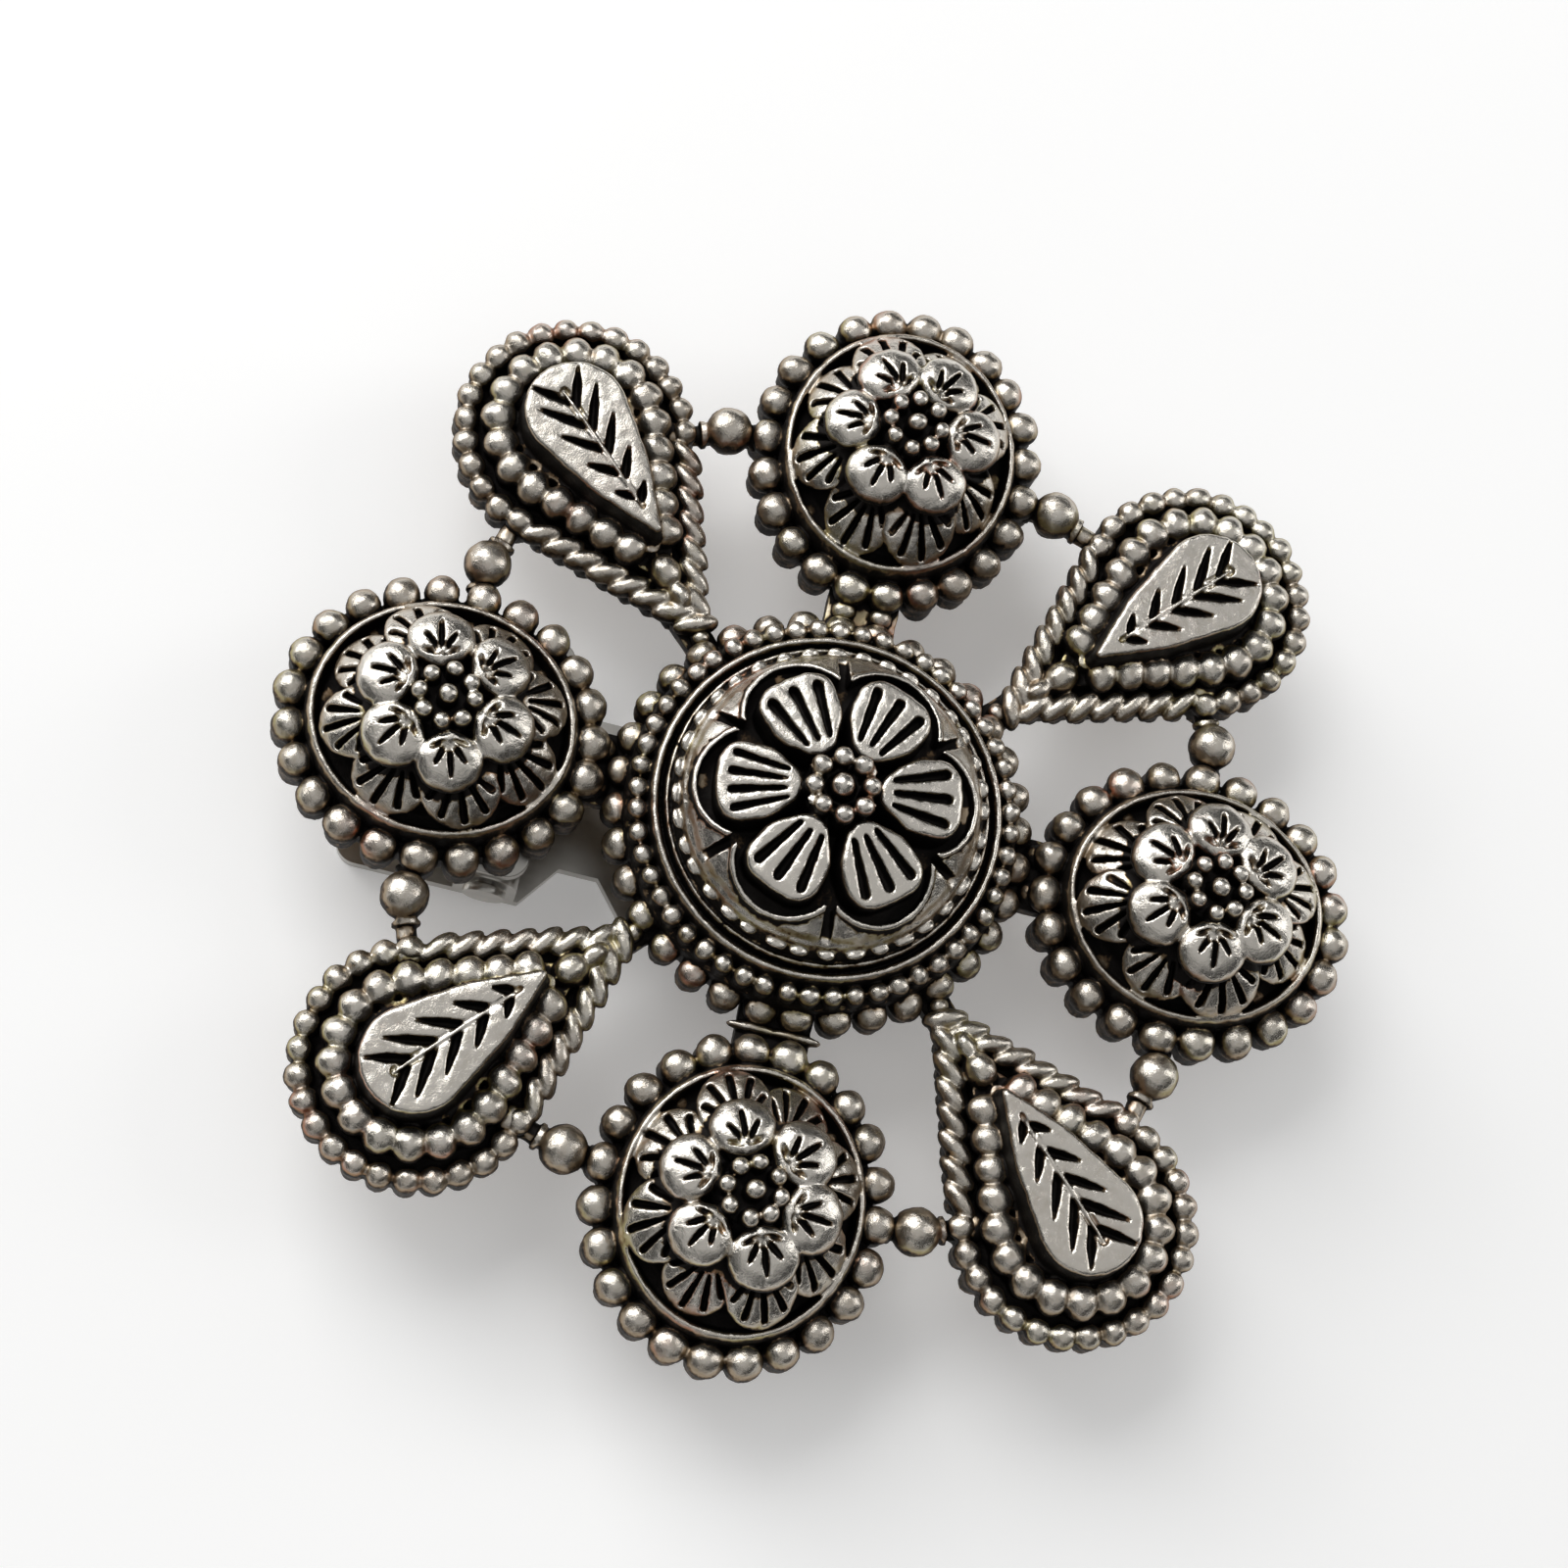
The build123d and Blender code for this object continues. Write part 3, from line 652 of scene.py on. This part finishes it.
def addBar(bm, start, end, radius, height):
    run = Vector(end) - Vector(start)
    heading = math.degrees(math.atan2(run.y, run.x))
    lie = place(start[0], start[1], height) @ spun(heading) @ place(turn=(0, 90, 0))
    addPeg(bm, lie, radius, radius, run.length, 24)


def bridgeTrim(bm, home, side, bar, rng):
    # a knob on this side of a bridge, or a bar across it
    j = joinery
    if bar:
        out, aside, height = j["crossbar"]
        addBall(bm, home @ place(out, side * aside, height, size=j["crossbarSize"]), 1.0, 3)
        out, aside, height = j["crossStem"]
        addPeg(bm, home @ place(out, side * aside, height) @ place(turn=(0, 90, 0)), **j["crossPeg"])
    else:
        out, aside, height = j["bridgeKnob"]
        addBead(bm, home @ place(out, side * aside, height), *j["bridgeKnobSize"], rng)


def links():
    j, bm, rng = joinery, bmesh.new(), random.Random(31)
    for row in flowerTable:
        distance = row["reach"] - flower["long"] - flower["beadRadius"]
        home = spun(row["angle"])
        middle = home @ Vector((distance, 0, 0))
        addBlock(bm, home @ place(j["bridge"], 0, 0), *j["bridgeSize"])
        for side in (-1, 1):
            bridgeTrim(bm, home, side, row["bar"], rng)
            ball = spun(row["angle"] + side * j["ballOffset"]) @ Vector((j["ballDistance"], 0, 0))
            drop = spun(row["angle"] + side * 45) @ Vector((leaf["middle"], 0, 0))
            addBall(bm, place(ball.x, ball.y, flower["beadHeight"]), j["ball"], 4)
            addPeg(bm, place(ball.x, ball.y, j["ballFoot"]), **j["ballStem"])
            for goal, reach, knobbed in ((middle, flower["wide"], False), (drop, leaf["edge"], True)):
                run = (goal - ball).normalized()
                end = goal - run * (reach - j["barOverlap"])
                addBar(bm, ball, end, j["bar"], j["barHeight"])
                if knobbed:
                    knob = end - run * j["knobInset"]
                    addBead(bm, place(knob.x, knob.y), j["knob"], j["knobHeight"], rng)
                collar = ball + run * (j["ball"] + j["collarGap"])
                near, far = collar - run * j["collarGap"], collar + run * j["collarLength"]
                addBar(bm, near, far, j["bar"] + j["collarWider"], j["barHeight"] + j["collarHigher"])
    for angle in (45, 135, 225, 315):
        addBlock(bm, spun(angle) @ place(j["neck"], 0, 0), *j["neckSize"])
        addBead(bm, spun(angle) @ place(*j["neckKnob"]), *j["neckKnobSize"], rng)
    cast(bm, "links", Matrix.Identity(4), j["triangles"])


def bracketPlate():
    b, bm = bracket, bmesh.new()
    middle = b["inner"] - b["length"] / 2
    addBlock(bm, place(middle, 0, -b["sheet"]), b["length"], b["width"], b["sheet"])
    upright = [e for e in bm.edges if abs(e.verts[0].co.z - e.verts[1].co.z) > 0.1]
    rounded = dict(profile=0.5, affect="EDGES", material=-1)
    bmesh.ops.bevel(bm, geom=upright, offset=b["corner"], segments=b["cornerSteps"], **rounded)
    level = [e for e in bm.edges if abs(e.verts[0].co.z - e.verts[1].co.z) < 0.01]
    rim = [e for e in level if len(e.link_faces) == 2 and e.calc_face_angle(0) > 1]
    bmesh.ops.bevel(bm, geom=rim, offset=b["edge"], segments=b["edgeSteps"], **rounded)
    sheet = outwards(bm)
    ears = bmesh.new()
    hingeX, low = b["inner"] - b["hinge"], b["hingeHeight"] - backHeight
    for side in (-1, 1):
        ear = bmesh.new()
        y = side * (b["earInner"] + b["ear"] / 2)
        lie = place(hingeX, y - b["ear"] / 2, low) @ place(turn=(-90, 0, 0))
        addPeg(ear, lie, b["earRadius"], b["earRadius"], b["ear"], 64)
        addBlock(ear, place(hingeX, y, low), 2 * b["earRadius"], b["ear"], -low - 0.1)
        hole = bmesh.new()
        addPeg(hole, lie @ place(0, 0, -0.5), b["hole"], b["hole"], 2, 48)
        addMesh(ears, carved(ear, hole), Matrix.Identity(4))
    addMesh(ears, sheet, Matrix.Identity(4))
    mesh = bake(ears)
    mesh.transform(Matrix.Translation((0, 0, backHeight)))
    mesh.name = "bracket"
    pieces["bracket"] = asObject(mesh, "bracket")


spring = dict(
    axis=(-14.9, 2.65), wire=0.325, radius=1.12, pitch=0.78, turns=4.469, sides=16, steps=24,
    leg=4.0, legSteps=8, splay=5.6, bendReach=0.9,
)


def springCoil():
    # a round section screwed round the pin, with a straight leg at each end
    s, coil = spring, bmesh.new()
    section = place(s["radius"], 0, 0, turn=(90, 0, 0))
    bmesh.ops.create_circle(coil, segments=s["sides"], radius=s["wire"], matrix=section)
    start = coil.edges[:]
    steps = int(s["steps"] * s["turns"])
    made = bmesh.ops.spin(
        coil, geom=coil.verts[:] + start, axis=(0, 0, 1), cent=(0, 0, 0),
        dvec=(0, 0, s["pitch"] * s["turns"] / steps), angle=2 * math.pi * s["turns"], steps=steps,
    )
    end = [e for e in made["geom_last"] if isinstance(e, bmesh.types.BMEdge)]
    rise = s["pitch"] / (2 * math.pi * s["radius"])
    around = spun(360 * s["turns"])
    for edges, way in ((start, Vector((0, -1, -rise))), (end, around @ Vector((0, 1, rise)))):
        for _ in range(s["legSteps"]):
            drawn = bmesh.ops.extrude_edge_only(coil, edges=edges)["geom"]
            edges = [e for e in drawn if isinstance(e, bmesh.types.BMEdge)]
            ends = [v for v in drawn if isinstance(v, bmesh.types.BMVert)]
            bmesh.ops.translate(coil, vec=way * s["leg"] / s["legSteps"], verts=ends)
    bmesh.ops.holes_fill(coil, edges=[e for e in coil.edges if e.is_boundary], sides=0)
    mesh = outwards(coil)
    x, height = s["axis"]
    half = s["pitch"] * s["turns"] / 2
    lying = Matrix(((0, 1, 0, x), (0, 0, -1, half), (-1, 0, 0, height), (0, 0, 0, 1)))
    mesh.transform(Matrix.Scale(millimetre, 4) @ lying @ spun(s["splay"]))
    mesh.shade_smooth()
    return asObject(mesh, "spring_coil")


links()
bracketPlate()
coil = springCoil()
print("bracket and spring done")


# How well the buff reached each point: 1 on the high places, 0 in the hollows; painted shade then darkens
# the flanks that face sideways

buffs = dict(
    polishAndShade=dict(radius=0.3, cell=0.06, clear=0.03, lost=0.34),     # crevices and engraved lines
    exposedAndShade=dict(radius=1.2, cell=0.12, clear=0.2, lost=1.7),      # wide, low-lying places
)
# painted shade by which way a point faces: sideways flanks keep only part of their tone, up-facing places
# all of it; outer walls and the underside of the back are held lighter
wearAndShade = dict(shadedFlank=0.22, level=0.75, side=0.5, sideCells=3, steep=0.5, back=0.62, under=-0.3)


def rolled(heights, radius, cell):
    # the surface that a ball of this radius can touch, from above
    reach = int(radius / cell)
    steps = range(-reach, reach + 1)
    disc = [(i, j, radius - math.sqrt(max(0, radius ** 2 - (i * i + j * j) * cell ** 2)))
            for i in steps for j in steps if (i * i + j * j) * cell ** 2 <= radius ** 2]
    for best, sign in ((np.maximum, -1), (np.minimum, 1)):
        wide = np.pad(heights, reach, mode="edge")
        rows, columns = heights.shape
        made = wide[reach:reach + rows, reach:reach + columns].copy()
        for i, j, drop in disc:
            made = best(made, wide[reach + i:reach + i + rows, reach + j:reach + j + columns] + sign * drop)
        heights = made
    return heights


def neighbours(heights, reach):
    # the map as it is and moved by this many cells to each of its eight sides
    wide, steps = np.pad(heights, reach), (0, reach, 2 * reach)
    rows, columns = heights.shape
    return [wide[i:i + rows, j:j + columns] for i in steps for j in steps]


def heightMap(points, corner, cell):
    size = ((points[:, :2].max(0) + 2 - corner) / cell).astype(int)
    heights = np.zeros(size)
    cells = ((points[:, :2] - corner) / cell).astype(int)
    np.maximum.at(heights, (cells[:, 0], cells[:, 1]), points[:, 2])
    return np.where(heights > 0, heights, np.max(neighbours(heights, 1), axis=0))


def polishAndShade():
    points = np.concatenate(surfacePoints)
    corner = points[:, :2].min(0) - 2
    for attribute, b in buffs.items():
        heights = heightMap(points, corner, b["cell"])
        touched = rolled(heights, b["radius"], b["cell"])
        # the outer walls: nothing stands within a few cells on one side
        lowest = np.min(neighbours(heights, wearAndShade["sideCells"]), axis=0)
        for obj in pieces.values():
            mesh = obj.data
            co = np.empty(len(mesh.vertices) * 3)
            normal = np.empty(len(mesh.vertices) * 3)
            mesh.vertices.foreach_get("co", co)
            mesh.vertex_normals.foreach_get("vector", normal)
            co, up = co.reshape(-1, 3), normal.reshape(-1, 3)[:, 2]
            where = ((co[:, :2] - corner) / b["cell"]).astype(int)
            depth = touched[where[:, 0], where[:, 1]] - co[:, 2]
            share = np.clip((depth - b["clear"]) / (b["lost"] - b["clear"]), 0, 1)
            value = 1 - share * share * (3 - 2 * share)
            # painted shade: the more a point faces sideways, the darker it is painted
            value *= wearAndShade["shadedFlank"] + (1 - wearAndShade["shadedFlank"]) * np.clip(up / wearAndShade["level"], 0, 1)
            outer = lowest[where[:, 0], where[:, 1]] == 0
            value = np.where(outer & (up < wearAndShade["steep"]), np.maximum(value, wearAndShade["side"]), value)
            value = np.where(up < wearAndShade["under"], np.maximum(value, wearAndShade["back"]), value)
            layer = mesh.attributes.new(attribute, "FLOAT", "POINT")
            layer.data.foreach_set("value", value.astype(np.float32))


polishAndShade()
print("polish done")


# Materials

class Signal:
    # a socket that can be reckoned with; one without a socket only makes nodes
    def __init__(self, tree, socket=None):
        self.tree, self.socket = tree, socket

    def node(self, kind, settings=None, values=None, out=0):
        made = self.tree.nodes.new(kind)
        for key, value in (settings or {}).items():
            setattr(made, key, value)
        for key, value in (values or {}).items():
            if isinstance(value, Signal):
                self.tree.links.new(value.socket, made.inputs[key])
            else:
                made.inputs[key].default_value = value
        return Signal(self.tree, made.outputs[out])

    def reckon(self, operation, first, second):
        return self.node("ShaderNodeMath", {"operation": operation}, {0: first, 1: second})

    def __add__(self, other):
        return self.reckon("ADD", self, other)

    def __radd__(self, other):
        return self.reckon("ADD", other, self)

    def __sub__(self, other):
        return self.reckon("SUBTRACT", self, other)

    def __rsub__(self, other):
        return self.reckon("SUBTRACT", other, self)

    def __mul__(self, other):
        return self.reckon("MULTIPLY", self, other)

    def __rmul__(self, other):
        return self.reckon("MULTIPLY", other, self)

    def mixed(self, low, high):
        # a colour between low and high
        first, second = ((*c, 1) if isinstance(c, tuple) else c for c in (low, high))
        return self.node("ShaderNodeMix", {"data_type": "RGBA"}, {0: self, 6: first, 7: second}, 2)

    def between(self, low, high):
        # a number between low and high
        return self * (high - low) + low

    def eased(self, low, high):
        # 0 below low, 1 above high
        settings = {"interpolation_type": "SMOOTHSTEP"}
        return self.node("ShaderNodeMapRange", settings, {0: self, 1: low, 2: high})


def noise(where, scale, detail, roughness=0.5):
    values = {"Vector": where, "Scale": scale, "Detail": detail, "Roughness": roughness}
    return where.node("ShaderNodeTexNoise", {}, values)


def newMaterial(name):
    material = bpy.data.materials.new(name)
    material.use_nodes = True
    material.node_tree.nodes.clear()
    start = Signal(material.node_tree)
    shader = material.node_tree.nodes.new("ShaderNodeBsdfPrincipled")
    output = material.node_tree.nodes.new("ShaderNodeOutputMaterial")
    material.node_tree.links.new(shader.outputs[0], output.inputs[0])
    return material, start, shader


def feed(shader, start, **sockets):
    for name, value in sockets.items():
        socket = shader.inputs[name.replace("_", " ")]
        if isinstance(value, Signal):
            start.tree.links.new(value.socket, socket)
        else:
            socket.default_value = value


silverLook = dict(
    bright=(0.71, 0.67, 0.605), grey=(0.36, 0.285, 0.2), brown=(0.17, 0.11, 0.06),
    oxideAndShade=(0.010, 0.008, 0.007), olive=(0.37, 0.32, 0.15), copper=(0.38, 0.18, 0.11),
    brightRough=0.24, oxideRough=0.5, highTop=0.0115, lowTop=0.0068,
    mottle=1900.0, fine=9000.0, patch=190.0, blush=240.0, blushPlace=3.7,
    bump=0.6, bumpHeight=0.00008,
)


def antiquedSilver():
    s = silverLook
    material, start, shader = newMaterial("antiqued_silver")
    where = start.node("ShaderNodeTexCoord", out=3)
    reach = start.node("ShaderNodeAttribute", {"attribute_name": "polishAndShade"}, out=2)
    exposedAndShade = start.node("ShaderNodeAttribute", {"attribute_name": "exposedAndShade"}, out=2)
    mottle = noise(where, s["mottle"], 4.0, 0.6)
    fine = noise(where, s["fine"], 3.0, 0.65)
    patch = noise(where, s["patch"], 3.0, 0.55)
    elsewhere = {"Vector": where, "W": s["blushPlace"], "Scale": s["blush"], "Detail": 3.0}
    blush = start.node("ShaderNodeTexNoise", {"noise_dimensions": "4D"}, elsewhere)
    # bare metal: how much shows through the oxide in the hollows, lowered on the flanks by painted shade;
    # shine: how bright it has been rubbed, also lowered by that painted shade
    baredAndLit = (reach * exposedAndShade.between(0.3, 1.0) + (mottle - 0.5) * 0.5 + (fine - 0.5) * 0.2).eased(0.24, 0.66)
    level = start.node("ShaderNodeSeparateXYZ", {}, {0: where}, 2).eased(s["lowTop"], s["highTop"])
    wornAndLit = reach * exposedAndShade * level.between(0.8, 1.0)
    shine = (wornAndLit + (mottle - 0.5) * 0.4 + (patch - 0.5) * 0.3).eased(0.42, 0.98)
    tinted = patch.eased(0.48, 0.62).mixed(s["grey"], s["olive"])
    tinted = blush.eased(0.52, 0.66).mixed(tinted, s["copper"])
    metal = shine.mixed(tinted, s["bright"])
    # painted shade: the darkened flanks take the oxide and brown colours, as the hollows do
    stainedAndShaded = baredAndLit.eased(0.0, 0.55).mixed(s["oxideAndShade"], s["brown"])
    colour = baredAndLit.eased(0.4, 1.0).mixed(stainedAndShaded, metal)
    rough = baredAndLit.between(s["oxideRough"], s["brightRough"]) + (mottle - 0.5) * 0.16 + (1 - shine) * 0.1
    relief = {"Strength": s["bump"], "Distance": s["bumpHeight"], "Height": mottle * 0.6 + fine * 0.4}
    bump = start.node("ShaderNodeBump", {}, relief)
    feed(shader, start, Base_Color=colour, Metallic=baredAndLit.between(0.8, 1.0), Roughness=rough, Normal=bump)
    return material


steelLook = dict(
    lines=1500.0, cloud=260.0, dull=0.72, bump=0.15, bumpHeight=0.00003, smoother=0.08, rougher=0.14,
)


def springSteel(name, colour, rough, brushed):
    # plain metal with fine scratches along one direction
    s = steelLook
    material, start, shader = newMaterial(name)
    where = start.node("ShaderNodeTexCoord", out=3)
    drawn = start.node("ShaderNodeMapping", {}, {"Vector": where, "Scale": brushed})
    lines = noise(drawn, s["lines"], 5.0, 0.65)
    cloud = noise(where, s["cloud"], 4.0)
    tone = cloud.eased(0.3, 0.75).mixed(tuple(s["dull"] * c for c in colour), colour)
    relief = {"Strength": s["bump"], "Distance": s["bumpHeight"], "Height": lines}
    bump = start.node("ShaderNodeBump", {}, relief)
    roughness = lines.between(rough - s["smoother"], rough + s["rougher"])
    feed(shader, start, Base_Color=tone, Metallic=1.0, Roughness=roughness, Normal=bump)
    return material


silver = antiquedSilver()
plated = springSteel("plated_steel", (0.6, 0.58, 0.54), 0.3, (0.08, 1, 1))
wire = springSteel("spring_steel", (0.42, 0.41, 0.4), 0.34, (1, 1, 1))


def dress(obj, material):
    obj.data.materials.clear()
    obj.data.materials.append(material)


for name, obj in pieces.items():
    obj.data.transform(Matrix.Scale(millimetre, 4))
    obj.data.shade_smooth()
    dress(obj, plated if name == "bracket" else silver)
    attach(obj, "casting")
    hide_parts("ornament")
dress(coil, wire)
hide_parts("spring")
x, height = spring["axis"]
bend = spring["bendReach"]
(height + bend) * millimetre
(height - bend) * millimetre
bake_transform(coil)

softEdges = dict(merge=0.000001, width=0.00007, segments=2, angle=35)
for name in ("clip_lever", "hinge_pin"):
    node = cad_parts[name]
    dress(node, plated)
    merged = node.modifiers.new("merged", "WELD")
    merged.merge_threshold = softEdges["merge"]
    soft = node.modifiers.new("soft", "BEVEL")
    soft.width, soft.segments = softEdges["width"], softEdges["segments"]
    soft.limit_method, soft.angle_limit = "ANGLE", math.radians(softEdges["angle"])
    soft.harden_normals = True
print("materials done")


# Table, lights and camera

stageLook = dict(floor=(0.92, 0.92, 0.915), rough=0.7, glow=0.22, reach=3.0, drop=-0.00001)
floorMesh = bmesh.new()
bmesh.ops.create_grid(floorMesh, x_segments=1, y_segments=1, size=stageLook["reach"])
bmesh.ops.translate(floorMesh, vec=(0, 0, stageLook["drop"]), verts=floorMesh.verts)
floor = asObject(bake(floorMesh), "floor")
material, start, shader = newMaterial("pale_table")
feed(shader, start, Base_Color=(*stageLook["floor"], 1), Roughness=stageLook["rough"],
     Emission_Color=(1, 1, 1, 1), Emission_Strength=stageLook["glow"])
# seen from below the table is clear, to show the back
below = start.node("ShaderNodeNewGeometry", out=6)
clear = start.node("ShaderNodeBsdfTransparent")
both = start.node("ShaderNodeMixShader", {}, {0: below, 1: Signal(start.tree, shader.outputs[0]), 2: clear})
start.tree.links.new(both.socket, start.tree.nodes["Material Output"].inputs[0])
dress(floor, material)

# the studio: a pale ceiling that falls off to dark walls
ceiling = dict(top=0.5, wall=0.03, low=0.4, high=0.9)
world = bpy.data.worlds.new("studio")
world.use_nodes = True
sky = Signal(world.node_tree)
towards = sky.node("ShaderNodeTexCoord")
height = sky.node("ShaderNodeSeparateXYZ", {}, {0: towards}, 2)
light = height.eased(ceiling["low"], ceiling["high"]).between(ceiling["wall"], ceiling["top"])
world.node_tree.links.new(light.socket, world.node_tree.nodes["Background"].inputs[1])
world.node_tree.nodes["Background"].inputs[0].default_value = (1, 1, 1, 1)
bpy.context.scene.world = world


def softbox(name, azimuth, tilt, distance, size, power):
    # an area light that hangs tilt degrees from straight above and looks at the clip
    light = bpy.data.lights.new(name, "AREA")
    light.shape, light.size, light.size_y = "RECTANGLE", size[0], size[1]
    light.energy = power
    obj = bpy.data.objects.new(name, light)
    bpy.context.scene.collection.objects.link(obj)
    a, t = math.radians(azimuth), math.radians(tilt)
    away = Vector((math.sin(t) * math.cos(a), math.sin(t) * math.sin(a), math.cos(t)))
    obj.location = away * distance
    obj.rotation_euler = away.to_track_quat("Z", "Y").to_euler()


softboxes = [
    dict(name="key", azimuth=132, tilt=46, distance=0.7, size=(0.5, 0.5), power=2.7),
    dict(name="window", azimuth=22, tilt=63, distance=0.7, size=(0.25, 0.5), power=0.9),
    dict(name="wall", azimuth=156, tilt=67, distance=0.7, size=(0.5, 0.22), power=1.2),
    dict(name="fill", azimuth=-100, tilt=70, distance=0.7, size=(0.4, 0.12), power=0.14),
]
for row in softboxes:
    softbox(**row)

viewpoint = dict(
    tilt=17.874, azimuth=-108.756, roll=11.851, distance=149.944,
    aim=(-2.075, 1.285, 6.8), lens=70.85, sensor=36,
)


def camera():
    v = viewpoint
    t, a, r = (math.radians(v[k]) for k in ("tilt", "azimuth", "roll"))
    back = Vector((math.sin(t) * math.cos(a), math.sin(t) * math.sin(a), math.cos(t)))
    right = Vector((-math.sin(r), math.cos(r), 0)).cross(back).normalized()
    up = back.cross(right)
    lens = bpy.data.cameras.new("camera")
    lens.lens, lens.sensor_width, lens.clip_start = v["lens"], v["sensor"], millimetre
    obj = bpy.data.objects.new("camera", lens)
    bpy.context.scene.collection.objects.link(obj)
    turned = Matrix((right, up, back)).transposed().to_4x4()
    obj.matrix_world = Matrix.Translation((Vector(v["aim"]) + back * v["distance"]) * millimetre) @ turned
    bpy.context.scene.camera = obj


camera()
bpy.context.scene.view_settings.view_transform = "Standard"
print("scene ready")
